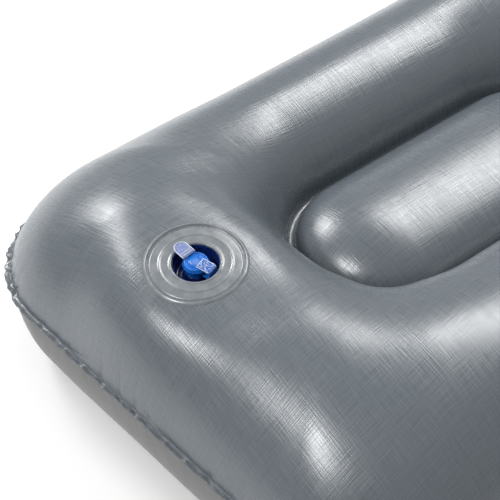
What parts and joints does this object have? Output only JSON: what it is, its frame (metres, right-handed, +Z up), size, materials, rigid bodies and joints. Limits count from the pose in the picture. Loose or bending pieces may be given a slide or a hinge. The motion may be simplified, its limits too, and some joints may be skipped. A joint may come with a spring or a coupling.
{
  "type": "inflatable camp pillow",
  "caption": "Inflatable camp pillow: a ring bolster round one raised island tube, with a push-in plug valve near one end.",
  "frame": {"origin": "on the ground, under the middle of the pillow's outline", "axes": "+X along the pillow's length, away from the valve; +Y across it, towards the side that the island tube and the valve are nearer to; +Z up"},
  "size_m": [0.431, 0.3017, 0.0977],
  "materials": {
    "embossed_film": "satin PVC film with a fine woven emboss",
    "flocked_film": "matte, short flock",
    "weld_ring": "smooth pressed PVC with concentric ribs",
    "blue_pvc": "translucent moulded PVC",
    "dark_blue_pvc": "translucent moulded PVC, thin wall",
    "pale_pvc": "thin translucent moulded PVC"
  },
  "bodies": {
    "bladder": {"top_sheet": "embossed_film", "bottom_sheet": "flocked_film", "valve_ring": "weld_ring", "valve_skirt": "dark_blue_pvc"},
    "valve": {"valve_stem": "blue_pvc"},
    "flap": {"check_flap": "blue_pvc"},
    "plug": {"plug_cap": "blue_pvc", "plug_strap": "blue_pvc", "pull_tab": "pale_pvc"}
  },
  "joints": [
    {"name": "valve_slide", "type": "slide", "parent": "bladder", "child": "valve", "axis": [-0.0981, -0.0564, 0.9936], "range_m": [0, 0.012], "deforming": ["valve_skirt"]},
    {"name": "plug_hinge", "type": "hinge", "parent": "valve", "child": "plug", "pos_m": [-0.16296, 0.02041, 0.09075], "axis": [0.9945, 0.0321, 0.1001], "range_deg": [0, 100]},
    {"name": "flap_hinge", "type": "hinge", "parent": "valve", "child": "flap", "pos_m": [-0.16197, 0.03341, 0.07679], "axis": [0.9945, 0.0321, 0.1001], "range_deg": [0, 50], "stiffness_Nm_per_rad": 0.0001, "springref_deg": -17.19}
  ]
}
